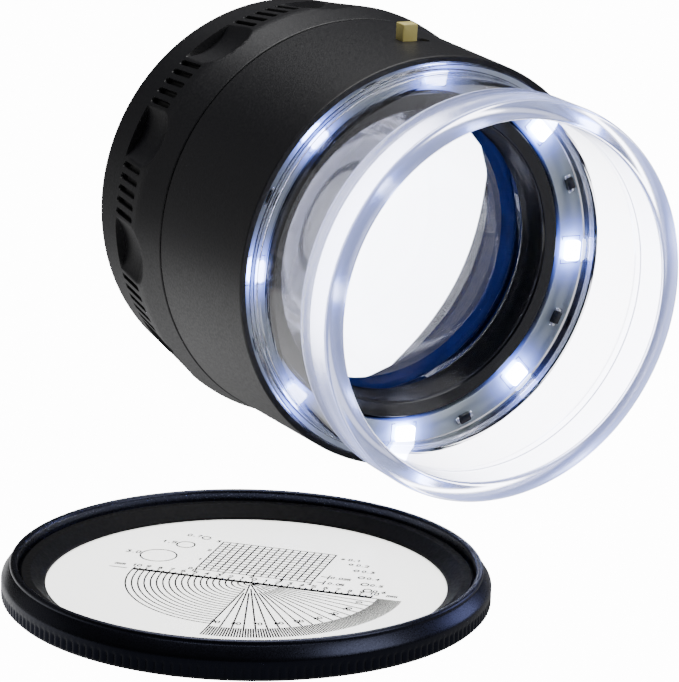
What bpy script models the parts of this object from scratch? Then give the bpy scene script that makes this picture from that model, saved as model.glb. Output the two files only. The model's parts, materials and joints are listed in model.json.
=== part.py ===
"""Illuminated scale loupe, lying on its side, with its loose reticle ring flat beside it.

World frame: metres, +Z up from the table. +X is to the right and +Y runs from the clear viewing
end towards the eye end. The origin is the middle of the footprint, on the table.

The loupe's own pieces are drawn round the local Z axis of the empty loupe_axis. A station is the
distance in millimetres from the front face of the clear base towards the eye end, and an angle is
measured from local +X towards local +Y, which points down at the table.
"""
import math

import bmesh
import bpy
from mathutils import Matrix, Vector

MM = 0.001
STEPS = 48               # facets round a full turn
FINE_GAP = 0.1           # mm, between turned pieces that fit into each other

# ---- driving dimensions, mm ----
FLANGE_R = 18.15         # clear viewing flange
FLANGE_THICK = 4.4
FLANGE_EDGE = 0.3        # chamfer on the flange's front edges
BASE_BORE_R = 16.3
TUBE_R_IN, TUBE_R_OUT = 16.8, 17.7
BODY_FRONT = 13.46       # station of the shell's front lip
BODY_FRONT_R, BODY_REAR_R = 19.1, 19.4   # the loupe rests on the shell's front edge
BODY_BORE_R = 18.5
BODY_END = 28.2
BOARD_FACE = 14.9
BOARD_THICK = 1.0
BOARD_R_IN, BOARD_R_OUT = 15.3, 18.35
LED_COUNT = 8
LED_R = 16.5
LED_PHASE = 2.0          # degrees
GRIP_FRONT = 28.5
GRIP_R = 20.0            # and on the grip's edge
GRIP_EDGE = 32.2
GRIP_REAR = 42.7
SCALLOPS = 11
RIB_PHASE = -171.7       # degrees, centre of one group of grip grooves
GROOVES_PER_GROUP = 5
GROOVE_PITCH = 3.3       # degrees
SLEEVE_R = 17.2          # the grip ring turns on this part of the shell
BARREL_R = 15.0
BARREL_BORE_R = 14.1
THREAD_R = 15.4          # crest of the focusing thread
LENS_R = 14.0
SWITCH_STATION = 19.9
SLOT_X = 1.15            # middle of the switch slot
SLOT_LENGTH, SLOT_WIDTH = 3.6, 1.8
LEVER_X = 0.4            # lever at rest, at the slot's left end
RING_R = 19.6            # reticle frame over its grip band
RING_TOP = 3.05
RING_PLACE = (-31.1, -10.87)    # reticle ring's centre from the middle of the flange's front face
GLASS_R = 17.5
CELL_R, CELL_THICK = 3.4, 2.15

LIP_CHAMFER = 0.2
LIP_EDGE = BODY_FRONT + LIP_CHAMFER
TILT = math.atan2(GRIP_R - BODY_FRONT_R, GRIP_EDGE - LIP_EDGE)
FRONT_HEIGHT = BODY_FRONT_R * math.cos(TILT) - LIP_EDGE * math.sin(TILT)

# Outer limits of the whole part from the middle of the flange's front face, which centre the origin.
LEFT = RING_PLACE[0] - RING_R
RIGHT = GRIP_R
NEAR = RING_PLACE[1] - RING_R
EYE_STATION, EYE_R = 44.2, 14.7
FAR = EYE_STATION * math.cos(TILT) + EYE_R * math.sin(TILT)
CENTRE = Vector(((LEFT + RIGHT) / 2, (NEAR + FAR) / 2, 0))


# ---- scene, materials and small builders ----

def clear_scene():
    for old in list(bpy.data.objects):
        bpy.data.objects.remove(old, do_unlink=True)


def material(name, colour, roughness, metallic=0.0, alpha=1.0):
    mat = bpy.data.materials.new(name)
    mat.use_nodes = True
    shader = mat.node_tree.nodes["Principled BSDF"]
    shader.inputs["Base Color"].default_value = (*colour, 1.0)
    shader.inputs["Roughness"].default_value = roughness
    shader.inputs["Metallic"].default_value = metallic
    shader.inputs["Alpha"].default_value = alpha
    return mat


def empty(name, place, axes=None, parent=None):
    """An empty at a place in mm; axes holds its three local axes as columns."""
    obj = bpy.data.objects.new(name, None)
    bpy.context.scene.collection.objects.link(obj)
    turn = Matrix(axes).transposed().to_4x4() if axes else Matrix.Identity(4)
    obj.parent = parent
    obj.matrix_local = Matrix.Translation(Vector(place) * MM) @ turn
    return obj


def add_object(name, bm, mat, parent, place=(0, 0, 0)):
    """Turns a bmesh drawn in millimetres into an object in metres, with its faces outwards."""
    bmesh.ops.scale(bm, vec=(MM, MM, MM), verts=bm.verts)
    bmesh.ops.recalc_face_normals(bm, faces=bm.faces)
    mesh = bpy.data.meshes.new(name)
    bm.to_mesh(mesh)
    bm.free()
    mesh.shade_smooth()
    mesh.set_sharp_from_angle(angle=math.radians(30))
    mesh.materials.append(mat)
    obj = bpy.data.objects.new(name, mesh)
    bpy.context.scene.collection.objects.link(obj)
    obj.parent = parent
    obj.location = Vector(place) * MM
    return obj


def arc(centre, radius, start, end, count):
    """Points (r, station) on a round stretch of an outline, angles in degrees from +r."""
    turns = [math.radians(start + (end - start) * i / count) for i in range(count + 1)]
    return [(centre[0] + radius * math.cos(a), centre[1] + radius * math.sin(a)) for a in turns]


def sag(curve_r, radius):
    """How far a spherical face of radius curve_r falls back at a distance radius from its axis."""
    return curve_r - math.sqrt(curve_r ** 2 - radius ** 2)


def turn_outline(bm, outline, steps=STEPS):
    """Spins a closed outline of (r, station) points a full turn round the Z axis."""
    verts = [bm.verts.new((r, 0, z)) for r, z in outline]
    edges = [bm.edges.new((a, b)) for a, b in zip(verts, verts[1:] + verts[:1])
             if a.co.x > 0 or b.co.x > 0]
    bmesh.ops.spin(bm, geom=verts + edges, cent=(0, 0, 0), axis=(0, 0, 1),
                   angle=math.tau, steps=steps, use_merge=True)
    bmesh.ops.remove_doubles(bm, verts=bm.verts, dist=1e-4)


def turned(name, outline, mat, parent, steps=STEPS):
    bm = bmesh.new()
    turn_outline(bm, outline, steps)
    return add_object(name, bm, mat, parent)


def polar(radius, angle, station):
    a = math.radians(angle)
    return Vector((radius * math.cos(a), radius * math.sin(a), station))


def add_box(bm, size, place, angle=0.0):
    """A box whose local X points outwards along the given angle; place is its centre."""
    turn = Matrix.Translation(place) @ Matrix.Rotation(math.radians(angle), 4, "Z")
    bmesh.ops.create_cube(bm, size=1.0, matrix=turn @ Matrix.Diagonal((*size, 1.0)))


def add_radial_pin(bm, radius, inner, outer, angle, station, segments=16):
    """A cylinder that points straight out from the axis, from one distance to another."""
    place = Matrix.Translation(polar((inner + outer) / 2, angle, station))
    turn = Matrix.Rotation(math.radians(angle), 4, "Z") @ Matrix.Rotation(math.pi / 2, 4, "Y")
    bmesh.ops.create_cone(bm, cap_ends=True, segments=segments, radius1=radius, radius2=radius,
                          depth=outer - inner, matrix=place @ turn)


def add_sector(bm, inner, outer, front, rear, start, end, count):
    """A block bent round the axis, between two radii, two stations and two angles."""
    rings = []
    for i in range(count + 1):
        angle = start + (end - start) * i / count
        corners = ((inner, front), (outer, front), (outer, rear), (inner, rear))
        rings.append([bm.verts.new(polar(r, angle, z)) for r, z in corners])
    for low, high in zip(rings, rings[1:]):
        for k in range(4):
            bm.faces.new((low[k], low[(k + 1) % 4], high[(k + 1) % 4], high[k]))
    bm.faces.new(rings[0][::-1])
    bm.faces.new(rings[-1])


def cut(obj, cutter, name):
    cutter.hide_render = True
    cutter.display_type = "WIRE"
    boolean = obj.modifiers.new(name, "BOOLEAN")
    boolean.operation = "DIFFERENCE"
    boolean.object = cutter


def wire(name, radius, points, mat, parent):
    """A round wire along a row of points, with closed ends."""
    curve = bpy.data.curves.new(name, "CURVE")
    curve.dimensions = "3D"
    curve.bevel_depth = radius * MM
    curve.bevel_resolution = 1
    curve.use_fill_caps = True
    spline = curve.splines.new("POLY")
    spline.points.add(len(points) - 1)
    for point, co in zip(spline.points, points):
        point.co = (*(co * MM), 1.0)
    curve.materials.append(mat)
    obj = bpy.data.objects.new(name, curve)
    bpy.context.scene.collection.objects.link(obj)
    obj.parent = parent
    return obj


# ---- housing: shell, clear base, lamp board, switch and cells ----

def build_body_shell(mats, parent):
    """One aluminium shell: thin front lip, battery and lamp space, then the sleeve the grip turns on."""
    web, sleeve_bore, thread_r, sleeve_end = 27.0, 16.2, 16.6, 39.4
    outline = [
        (BODY_BORE_R, BODY_FRONT), (BODY_FRONT_R - LIP_CHAMFER, BODY_FRONT),
        (BODY_FRONT_R, LIP_EDGE), (BODY_REAR_R, BODY_END - 0.15),
        (BODY_REAR_R - 0.15, BODY_END), (SLEEVE_R, BODY_END),
        (SLEEVE_R, 34.0), (16.65, 34.0), (16.65, 34.9), (SLEEVE_R, 34.9),
        (SLEEVE_R, 37.0), (thread_r, 37.0), (thread_r, sleeve_end),
        (sleeve_bore, sleeve_end), (sleeve_bore, web), (BODY_BORE_R - 0.05, web),
    ]
    shell = turned("body_shell", outline, mats["black_aluminium"], parent)
    bm = bmesh.new()
    add_box(bm, (SLOT_LENGTH, 3.0, SLOT_WIDTH), Vector((SLOT_X, -19.4, SWITCH_STATION)))
    corners = [e for e in bm.edges if abs(e.verts[0].co.y - e.verts[1].co.y) > 1.0]
    bmesh.ops.bevel(bm, geom=corners, offset=0.4, segments=3, affect="EDGES", profile=0.5)
    cut(shell, add_object("switch_slot_cutter", bm, mats["black_aluminium"], parent), "switch_slot")
    return shell


def build_clear_base(mats, parent):
    """Clear acrylic viewing base: thick front flange, thin tube, and a collar held in the shell."""
    collar_r, collar_front, shoulder, led_room_r, rear = 18.4, 13.0, 13.6, 17.75, 14.8
    edge = FLANGE_EDGE
    outline = [
        (BASE_BORE_R, edge), (BASE_BORE_R + edge, 0.0), (FLANGE_R - edge, 0.0), (FLANGE_R, edge),
        (FLANGE_R, FLANGE_THICK - edge), (FLANGE_R - edge, FLANGE_THICK), (TUBE_R_OUT, FLANGE_THICK),
        (TUBE_R_OUT, collar_front), (collar_r, collar_front), (collar_r, rear), (led_room_r, rear),
        (led_room_r, shoulder), (TUBE_R_IN, shoulder), (TUBE_R_IN, FLANGE_THICK + 0.6),
        (BASE_BORE_R, FLANGE_THICK),
    ]
    turned("clear_base", outline, mats["clear_acrylic"], parent)


def build_lamp_board(mats, parent):
    rear = BOARD_FACE + BOARD_THICK
    turned("led_board", [(BOARD_R_IN, BOARD_FACE), (BOARD_R_OUT, BOARD_FACE),
                         (BOARD_R_OUT, rear), (BOARD_R_IN, rear)], mats["board_white"], parent)
    for i in range(LED_COUNT):
        angle = LED_PHASE + i * 360 / LED_COUNT
        bm = bmesh.new()
        add_box(bm, (1.7, 2.1, 0.7), polar(LED_R, angle, BOARD_FACE - 0.4), angle)
        add_object(f"led_{i + 1}", bm, mats["led_white"], parent)
        between = angle + 180 / LED_COUNT
        bm = bmesh.new()
        add_box(bm, (0.9, 1.7, 0.45), polar(LED_R + 0.2, between, BOARD_FACE - 0.28), between)
        add_object(f"resistor_{i + 1}", bm, mats["resistor_black"], parent)
    turned("board_spacer_ring", [(17.3, 16.0), (18.35, 16.0), (18.35, 17.3), (17.3, 17.3)],
           mats["black_plastic"], parent)


def build_switch(mats, parent):
    """Slide switch behind the slot; its cream lever slides along local X."""
    floor_y, top_y, pocket_y = -15.5, -17.85, -16.6
    bm = bmesh.new()
    add_box(bm, (6.0, top_y - floor_y, 4.4), Vector((SLOT_X, (top_y + floor_y) / 2, SWITCH_STATION)))
    housing = add_object("switch_housing", bm, mats["grey_plastic"], parent)
    bm = bmesh.new()
    add_box(bm, (SLOT_LENGTH, 3.0, SLOT_WIDTH), Vector((SLOT_X, pocket_y - 1.5, SWITCH_STATION)))
    cutter = add_object("switch_pocket_cutter", bm, mats["grey_plastic"], parent)
    cut(housing, cutter, "switch_pocket")
    for i in range(3):
        bm = bmesh.new()
        add_box(bm, (0.6, 0.35, 1.1), Vector((SLOT_X + 1.9 * (i - 1), -16.6, 17.1)))
        add_object(f"switch_terminal_{i + 1}", bm, mats["tinned_brass"], parent)

    slide = empty("switch_slide", (LEVER_X, -19.3, SWITCH_STATION), parent=parent)
    bm = bmesh.new()
    add_box(bm, (1.55, 4.35, 1.3), Vector((0, 0.325, 0)))
    upright = [e for e in bm.edges if abs(e.verts[0].co.y - e.verts[1].co.y) > 1.0]
    bmesh.ops.bevel(bm, geom=upright, offset=0.25, segments=2, affect="EDGES", profile=0.5)
    add_object("switch_lever", bm, mats["cream_plastic"], slide)


def build_cells(mats, parent):
    """Three button cells in a curved carrier under the barrel, linked by thin spring strips."""
    front, rear, middle = 17.5, 25.9, 21.7
    angles = (60, 90, 120)
    seat = 15.55
    bm = bmesh.new()
    add_sector(bm, 15.5, 17.85, front, rear, 44, 136, 23)
    carrier = add_object("battery_carrier", bm, mats["black_plastic"], parent)
    pockets = bmesh.new()
    for angle in angles:
        add_radial_pin(pockets, CELL_R + 0.25, 14.0, 19.0, angle, middle, 24)
    cutter = add_object("cell_pocket_cutter", pockets, mats["black_plastic"], parent)
    cut(carrier, cutter, "cell_pockets")
    for number, angle in enumerate(angles, 1):
        bm = bmesh.new()
        add_radial_pin(bm, CELL_R, seat, seat + CELL_THICK, angle, middle, 32)
        add_object(f"button_cell_{number}", bm, mats["steel"], parent)
    strips = {
        "cell_link_1": (18.05, 57, 93), "cell_link_2": (15.25, 87, 123),
        "positive_contact": (15.25, 48, 63), "negative_contact": (18.05, 117, 132),
    }
    for name, (inner, start, end) in strips.items():
        bm = bmesh.new()
        add_sector(bm, inner, inner + 0.15, middle - 1.0, middle + 1.0, start, end, 9)
        add_object(name, bm, mats["tinned_brass"], parent)


def build_wires(mats, parent):
    """Two leads run round the annular space between the lamp board and the cells."""
    radius, station = 16.7, 16.55
    for name, start, end in (("lead_wire_positive", -74, 42), ("lead_wire_negative", -107, -222)):
        points = [polar(radius, start + (end - start) * i / 20, station) for i in range(21)]
        wire(name, 0.28, points, mats[name], parent)


def build_guides(mats, parent):
    """The brass bush and pins that let the barrel slide but not turn, and what holds the grip on."""
    turned("guide_bush", [(BARREL_R + 0.15, 29.0), (16.1, 29.0), (16.1, 36.8),
                          (BARREL_R + 0.15, 36.8)], mats["brass"], parent)
    bush = bpy.data.objects["guide_bush"]
    holes = bmesh.new()
    for number, angle in enumerate((0, 180), 1):
        add_radial_pin(holes, 0.62, 14.0, 17.0, angle, 35.0)
        bm = bmesh.new()
        add_radial_pin(bm, 0.5, 14.62, 16.05, angle, 35.0)
        add_object(f"guide_pin_{number}", bm, mats["steel"], parent)
    cut(bush, add_object("pin_hole_cutter", holes, mats["brass"], parent), "pin_holes")
    turned("focus_o_ring", arc((16.95, 34.45), 0.27, 0, 360, 6)[:-1], mats["rubber"], parent)
    turned("grip_retaining_ring", [(16.7, 38.55), (17.55, 38.55), (17.55, 39.4), (16.7, 39.4)],
           mats["steel"], parent)


# ---- grip ring and focusing nut ----

def scallop_cutter(mats, parent):
    """Eleven round-nosed cutters leaning with the grip's taper, one between each two rib groups."""
    cutter_r, reach = 5.0, 23.55
    nose = [(0, 38.0), (cutter_r, 38.0), (cutter_r, 33.7), (4.8, 32.9), (4.35, 31.9),
            (3.6, 31.0), (0, 30.4)]
    lean = math.atan2(0.5, 5.0)
    bm = bmesh.new()
    for i in range(SCALLOPS):
        one = bmesh.new()
        turn_outline(one, nose, 40)
        bmesh.ops.recalc_face_normals(one, faces=one.faces)
        tilt = Matrix.Translation((0, 0, 36)) @ Matrix.Rotation(-lean, 4, "Y")
        tilt = tilt @ Matrix.Translation((0, 0, -36))
        angle = math.radians(RIB_PHASE + (i + 0.5) * 360 / SCALLOPS)
        place = Matrix.Rotation(angle, 4, "Z") @ Matrix.Translation((reach, 0, 0)) @ tilt
        bmesh.ops.transform(one, matrix=place, verts=one.verts)
        part = bpy.data.meshes.new("scallop")
        one.to_mesh(part)
        one.free()
        bm.from_mesh(part)
        bpy.data.meshes.remove(part)
    return add_object("scallop_cutter", bm, mats["black_aluminium"], parent)


def groove_cutter(mats, parent):
    bm = bmesh.new()
    middle = (GROOVES_PER_GROUP - 1) / 2
    for i in range(SCALLOPS):
        for k in range(GROOVES_PER_GROUP):
            angle = RIB_PHASE + i * 360 / SCALLOPS + (k - middle) * GROOVE_PITCH
            add_box(bm, (2.0, 0.55, 4.3), polar(20.0, angle, 35.75), angle)
    return add_object("groove_cutter", bm, mats["black_aluminium"], parent)


def build_grip(mats, parent):
    """Tapered grip ring with finger scallops and rib groups, and the brass nut fixed inside it."""
    rim = arc((17.95, 41.9), 0.8, 12, 90, 5)
    outline = [
        (SLEEVE_R + FINE_GAP, GRIP_FRONT), (19.3, GRIP_FRONT), (19.45, GRIP_FRONT + 0.15),
        (GRIP_R - 0.08, GRIP_EDGE - 0.3), (GRIP_R, GRIP_EDGE), (GRIP_R - 0.04, GRIP_EDGE + 0.3),
        (19.2, 38.2), *rim, (17.75, GRIP_REAR), (17.75, 38.45), (16.75, 38.45), (16.75, 37.2),
        (SLEEVE_R + FINE_GAP, 37.2),
    ]
    grip = turned("grip_ring", outline, mats["black_aluminium"], parent)
    cut(grip, scallop_cutter(mats, parent), "scallops")
    cut(grip, groove_cutter(mats, parent), "grooves")
    nut_front, nut_rear = 39.75, 42.0
    turned("focus_nut", [(THREAD_R + 0.15, nut_front), (17.65, nut_front), (17.65, nut_rear - 0.3),
                         (17.35, nut_rear), (THREAD_R + 0.4, nut_rear), (THREAD_R + 0.15, nut_rear - 0.25)],
           mats["black_brass"], parent)


# ---- sliding lens unit ----

def lens(name, rim_r, front_vertex, front_curve, rear_vertex, rear_curve, mat, parent):
    """A lens turned from two spherical faces; a positive curve bulges to the front, 0 is flat."""
    def face(vertex, curve, radii):
        bend = math.copysign(1, curve)
        return [(r, vertex + bend * sag(abs(curve), r) if curve else vertex) for r in radii]
    outwards = [rim_r * i / 4 for i in range(5)]
    outline = face(front_vertex, front_curve, outwards)
    outline += face(rear_vertex, rear_curve, outwards[::-1])
    return turned(name, outline, mat, parent)


def build_lens_unit(mats, parent):
    """Barrel with its lens stack: front ring, cemented pair, spacer, eye lens and eyepiece rim."""
    barrel = turned("lens_barrel", [
        (BARREL_BORE_R, 16.3), (BARREL_R, 16.3), (BARREL_R, 38.5), (THREAD_R, 38.5),
        (THREAD_R, 41.5), (14.0, 41.5), (14.0, 39.9), (13.6, 39.9), (12.6, 33.4), (12.6, 32.5),
        (BARREL_BORE_R, 32.5)], mats["black_aluminium"], parent)
    slots = bmesh.new()
    for angle in (0, 180):
        add_box(slots, (1.2, 1.3, 4.4), polar(15.1, angle, 35.0), angle)
    cut(barrel, add_object("guide_slot_cutter", slots, mats["brass"], parent), "guide_slots")
    turned("front_lens_ring", [
        (13.15, 17.0), (13.5, 15.25), (13.75, 15.0), (BARREL_R - 0.2, 15.0), (BARREL_R, 15.2),
        (BARREL_R, 16.2), (BARREL_BORE_R - FINE_GAP, 16.2), (BARREL_BORE_R - FINE_GAP, 18.5),
        (13.4, 18.5), (13.15, 18.1)], mats["gloss_black"], parent)
    lens("field_lens_flint", LENS_R, 17.0, 60.0, 18.6, 45.0, mats["glass"], parent)
    lens("field_lens_crown", LENS_R, 18.75, 45.0, 26.2, -32.0, mats["glass"], parent)
    turned("lens_spacer", [(13.4, 23.55), (LENS_R, 23.3), (LENS_R, 30.3), (13.3, 30.0),
                           (12.6, 29.4), (12.6, 24.1)], mats["matte_black"], parent)
    lens("eye_lens", LENS_R, 27.3, 31.0, 32.3, 0.0, mats["glass"], parent)
    turned("eyepiece_rim", [
        (13.3, 43.2), (12.75, 40.05), (13.9, 40.05), (13.9, 41.6), (15.0, 41.6), (15.3, 41.9),
        (15.3, 43.6), *arc((EYE_R, EYE_STATION - 0.6), 0.6, 0, 90, 4), (13.9, EYE_STATION)],
        mats["matte_black"], parent)


# ---- loose reticle ring ----

def build_reticle(mats, parent):
    """Shallow knurled frame with a printed glass disc held down by a threaded ring."""
    turned("reticle_frame", [
        (16.6, 0.0), (19.25, 0.0), (RING_R, 0.3), (RING_R, 1.85), (19.45, 2.0),
        *arc((18.65, 2.8), 0.25, 10, 150, 5), (18.3, 2.75), (18.3, 1.95), (18.05, 1.8),
        (17.65, 1.7), (17.65, 0.3), (16.6, 0.3)], mats["black_anodised"], parent)
    turned("reticle_glass", [(0, 0.4), (GLASS_R - 0.2, 0.4), (GLASS_R, 0.55), (GLASS_R, 1.5),
                             (GLASS_R - 0.15, 1.65), (0, 1.65)], mats["glass"], parent)
    turned("reticle_retaining_ring", [
        (16.0, 1.75), (17.95, 1.8), (18.05, 1.95), (18.0, 2.2), (16.9, 2.25), (16.05, 1.95)],
        mats["black_anodised"], parent)


def main():
    clear_scene()
    mats = {
        "black_aluminium": material("black_aluminium", (0.018, 0.018, 0.02), 0.5),
        "clear_acrylic": material("clear_acrylic", (0.92, 0.94, 1.0), 0.05, alpha=0.35),
        "board_white": material("board_white", (0.78, 0.82, 0.84), 0.4),
        "led_white": material("led_white", (1.0, 1.0, 1.0), 0.3),
        "resistor_black": material("resistor_black", (0.03, 0.03, 0.03), 0.4),
        "black_plastic": material("black_plastic", (0.02, 0.02, 0.02), 0.6),
        "grey_plastic": material("grey_plastic", (0.5, 0.52, 0.52), 0.5),
        "cream_plastic": material("cream_plastic", (0.72, 0.62, 0.32), 0.45),
        "tinned_brass": material("tinned_brass", (0.75, 0.74, 0.7), 0.3, 1.0),
        "lead_wire_positive": material("lead_wire_positive", (0.5, 0.02, 0.02), 0.5),
        "lead_wire_negative": material("lead_wire_negative", (0.02, 0.02, 0.02), 0.5),
        "steel": material("steel", (0.6, 0.6, 0.6), 0.3, 1.0),
        "brass": material("brass", (0.75, 0.55, 0.22), 0.35, 1.0),
        "black_brass": material("black_brass", (0.02, 0.02, 0.02), 0.4),
        "rubber": material("rubber", (0.02, 0.02, 0.02), 0.8),
        "gloss_black": material("gloss_black", (0.01, 0.01, 0.012), 0.15),
        "matte_black": material("matte_black", (0.015, 0.015, 0.016), 0.7),
        "black_anodised": material("black_anodised", (0.012, 0.012, 0.02), 0.3),
        "glass": material("glass", (0.95, 0.97, 1.0), 0.02, alpha=0.35),
    }
    c, s = math.cos(TILT), math.sin(TILT)
    axes = ((1, 0, 0), (0, s, -c), (0, c, s))
    front = Vector((0, 0, FRONT_HEIGHT)) - CENTRE
    axis = empty("loupe_axis", front, axes)
    build_body_shell(mats, axis)
    build_clear_base(mats, axis)
    build_lamp_board(mats, axis)
    build_switch(mats, axis)
    build_cells(mats, axis)
    build_wires(mats, axis)
    build_guides(mats, axis)
    build_grip(mats, axis)
    build_lens_unit(mats, axis)
    place = Vector((*RING_PLACE, 0)) - CENTRE
    build_reticle(mats, empty("reticle_place", place))


main()
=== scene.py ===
"""Looks of an illuminated scale loupe lying on its side, with its printed reticle ring beside it.

Every turned piece is worked out in millimetres round the loupe's optical axis, or round the
ring's own axis, and then carried into the shared frame in metres.
"""
import json
import math

import bmesh
import bpy
import numpy as np
from mathutils import Matrix, Vector


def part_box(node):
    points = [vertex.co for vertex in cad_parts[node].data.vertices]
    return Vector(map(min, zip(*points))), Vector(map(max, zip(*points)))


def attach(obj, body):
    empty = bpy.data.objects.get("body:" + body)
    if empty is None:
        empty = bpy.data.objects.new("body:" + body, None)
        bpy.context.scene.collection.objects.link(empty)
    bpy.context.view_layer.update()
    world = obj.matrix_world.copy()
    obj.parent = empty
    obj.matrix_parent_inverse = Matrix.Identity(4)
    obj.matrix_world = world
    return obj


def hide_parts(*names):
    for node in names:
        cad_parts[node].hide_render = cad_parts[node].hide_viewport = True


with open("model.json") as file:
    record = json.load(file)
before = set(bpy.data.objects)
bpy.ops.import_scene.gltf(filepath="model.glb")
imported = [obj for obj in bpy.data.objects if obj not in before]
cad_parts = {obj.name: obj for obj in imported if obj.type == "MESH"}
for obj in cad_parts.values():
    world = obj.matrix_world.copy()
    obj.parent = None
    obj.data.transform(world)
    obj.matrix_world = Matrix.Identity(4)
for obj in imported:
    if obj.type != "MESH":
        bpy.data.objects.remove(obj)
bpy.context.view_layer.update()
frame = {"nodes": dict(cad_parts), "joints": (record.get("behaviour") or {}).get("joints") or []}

MM = 0.001
TURN = np.linspace(0, 360, 256, endpoint=False)      # degrees round a turned piece

# The focusing joint gives the optical axis; it stands this far behind the clear base's front face.
FOCUS_STATION = 35.0
FOCUS = next(joint for joint in frame["joints"] if joint["name"] == "focus_turn")
AXIS = np.array(FOCUS["axis"]) / np.linalg.norm(FOCUS["axis"])
FRONT = np.array(FOCUS["pos_m"]) - FOCUS_STATION * MM * AXIS
ACROSS = np.array((1.0, 0.0, 0.0))
DOWN = np.cross(AXIS, ACROSS)
RING_LOW, RING_HIGH = (np.array(corner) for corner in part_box("reticle_frame"))
RING_CENTRE = (RING_LOW + RING_HIGH) / 2 * (1, 1, 0)


# ---- places ----

def on_loupe(points):
    """Local millimetres (across, down, station behind the front face) to the shared frame."""
    return FRONT + MM * (points[..., :1] * ACROSS + points[..., 1:2] * DOWN + points[..., 2:] * AXIS)


def on_ring(points):
    """Millimetres from the middle of the reticle ring's underside to the shared frame."""
    return RING_CENTRE + MM * points


def loupe_place(piece):
    """Radius in mm, angle in degrees and station in mm of each of a piece's corners."""
    corners = np.empty(len(piece.data.vertices) * 3)
    piece.data.vertices.foreach_get("co", corners)
    away = (corners.reshape(-1, 3) - FRONT) / MM
    across, down = away @ ACROSS, away @ DOWN
    return np.hypot(across, down), np.degrees(np.arctan2(down, across)), away @ AXIS


# ---- meshes ----

def grid_faces(rows, columns, close_rows, close_columns):
    """Corner numbers of the quads of a grid, which may join up in either direction."""
    i = np.arange(rows if close_rows else rows - 1)[:, None]
    j = np.arange(columns if close_columns else columns - 1)[None, :]
    below, beside = (i + 1) % rows, (j + 1) % columns
    corners = (i * columns + j, below * columns + j, below * columns + beside, i * columns + beside)
    return np.stack(np.broadcast_arrays(*corners), -1).reshape(-1, 4)


def mesh_piece(name, points, faces, sharp=35.0):
    """Puts points and equal-sided faces in a mesh, closes its seams and poles, and turns it outwards."""
    mesh = bpy.data.meshes.new(name)
    mesh.vertices.add(len(points))
    mesh.vertices.foreach_set("co", np.ascontiguousarray(points, np.float32).ravel())
    mesh.loops.add(faces.size)
    mesh.loops.foreach_set("vertex_index", np.ascontiguousarray(faces, np.int32).ravel())
    mesh.polygons.add(len(faces))
    mesh.polygons.foreach_set("loop_start", np.arange(0, faces.size, faces.shape[1], dtype=np.int32))
    mesh.update(calc_edges=True)
    bm = bmesh.new()
    bm.from_mesh(mesh)
    bmesh.ops.remove_doubles(bm, verts=bm.verts, dist=1e-7)
    bmesh.ops.dissolve_degenerate(bm, edges=bm.edges, dist=1e-8)
    bmesh.ops.recalc_face_normals(bm, faces=bm.faces)
    bm.to_mesh(mesh)
    bm.free()
    mesh.shade_smooth()
    mesh.set_sharp_from_angle(angle=math.radians(sharp))
    piece = bpy.data.objects.new(name, mesh)
    bpy.context.scene.collection.objects.link(piece)
    return piece


def finish(piece, material, body, slot, *nodes):
    """Gives a piece its material, attaches it to what it moves with, and hides the CAD nodes it stands
    for.
    """
    piece.data.materials.append(material)
    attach(piece, body)
    if nodes:
        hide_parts(*nodes)
    return piece


def lay_attribute(piece, name, values):
    """Stores one number per corner of a piece, for its material to read."""
    layer = piece.data.attributes.new(name, "FLOAT", "POINT")
    layer.data.foreach_set("value", np.ascontiguousarray(values, np.float32))


def eased(corners, ease=0.12, steps=4):
    """Closed outline with each corner eased: the curve (1-t)^2 a + 2t(1-t) p + t^2 b between points a
    and b on the corner's two sides, and one more point beyond each, so that long faces stay flat.
    Each corner gives steps + 3 points."""
    p = np.array(corners, float)
    ahead, behind = np.roll(p, -1, 0) - p, np.roll(p, 1, 0) - p
    long_ahead = np.linalg.norm(ahead, axis=1, keepdims=True)
    long_behind = np.linalg.norm(behind, axis=1, keepdims=True)
    reach = np.minimum(ease, 0.33 * np.minimum(long_ahead, long_behind))
    a, b = p + behind / long_behind * reach, p + ahead / long_ahead * reach
    t = np.linspace(0, 1, steps + 1)[None, :, None]
    curve = (1 - t) ** 2 * a[:, None] + 2 * t * (1 - t) * p[:, None] + t ** 2 * b[:, None]
    first = p + behind / long_behind * reach * 1.35
    last = p + ahead / long_ahead * reach * 1.35
    return np.concatenate([first[:, None], curve, last[:, None]], 1).reshape(-1, 2)


def spun(outline, angles=TURN, carve=None):
    """Grid of points (r cos a, r sin a, s) for each angle a and each outline point (r, s). carve may
    return a smaller r for each r, a and s."""
    a = np.radians(angles)[:, None]
    r = np.broadcast_to(outline[:, 0], (len(angles), len(outline)))
    s = np.broadcast_to(outline[:, 1], r.shape)
    if carve:
        r = carve(r, np.degrees(a), s)
    return np.stack([r * np.cos(a), r * np.sin(a), s], -1)


def turned(name, outline, place=on_loupe, angles=TURN, carve=None, sharp=35.0):
    """A turned piece: a closed outline, or one that starts and ends on the axis, carried round it."""
    points = place(spun(outline, angles, carve))
    rows, columns = points.shape[:2]
    open_outline = abs(outline[0, 0]) + abs(outline[-1, 0]) < 1e-6
    faces = grid_faces(rows, columns, True, not open_outline)
    return mesh_piece(name, points.reshape(-1, 3), faces, sharp)


# ---- materials ----

def colour(hex_code):
    """sRGB hex code to linear red, green, blue and full alpha."""
    parts = [int(hex_code[i:i + 2], 16) / 255 for i in (0, 2, 4)]
    return (*[c / 12.92 if c <= 0.04045 else ((c + 0.055) / 1.055) ** 2.4 for c in parts], 1.0)


def add_node(tree, kind, inputs=None, **settings):
    """Adds one shader node with its settings; an input is a value, or another node's output."""
    made = tree.nodes.new(kind)
    for key, value in settings.items():
        setattr(made, key, value)
    for key, value in (inputs or {}).items():
        if isinstance(value, bpy.types.NodeSocket):
            tree.links.new(value, made.inputs[key])
        else:
            made.inputs[key].default_value = value
    return made


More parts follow.
